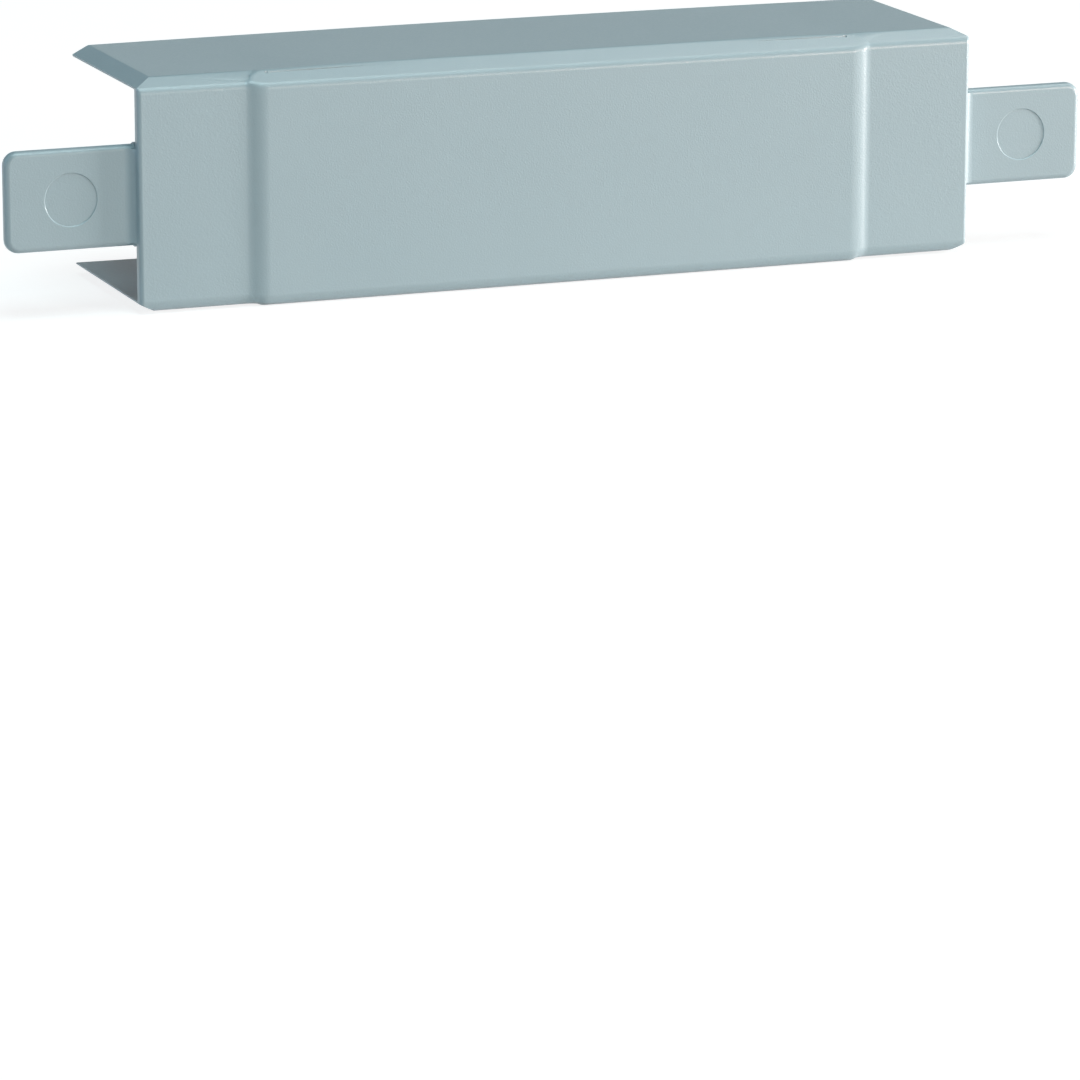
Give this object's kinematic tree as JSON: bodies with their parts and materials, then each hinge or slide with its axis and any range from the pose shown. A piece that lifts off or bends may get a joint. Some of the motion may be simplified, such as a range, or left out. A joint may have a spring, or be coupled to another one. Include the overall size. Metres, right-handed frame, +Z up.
{
  "type": "trunking tee",
  "caption": "One-piece moulded hood for a surface trunking tee: U channel with a raised middle panel, chamfered top edge and a connecting tongue at each end.",
  "frame": {"origin": "middle of the footprint, at the level of the lowest point of the bottom flange", "axes": "+X along the trunking run, -Y out of the front face, +Z up towards the chamfered top edge"},
  "size_m": [0.22, 0.0426, 0.0449],
  "materials": {
    "hood_plastic": "satin, fine moulded texture"
  },
  "bodies": {
    "root": {"tee_hood": "hood_plastic"}
  },
  "joints": []
}
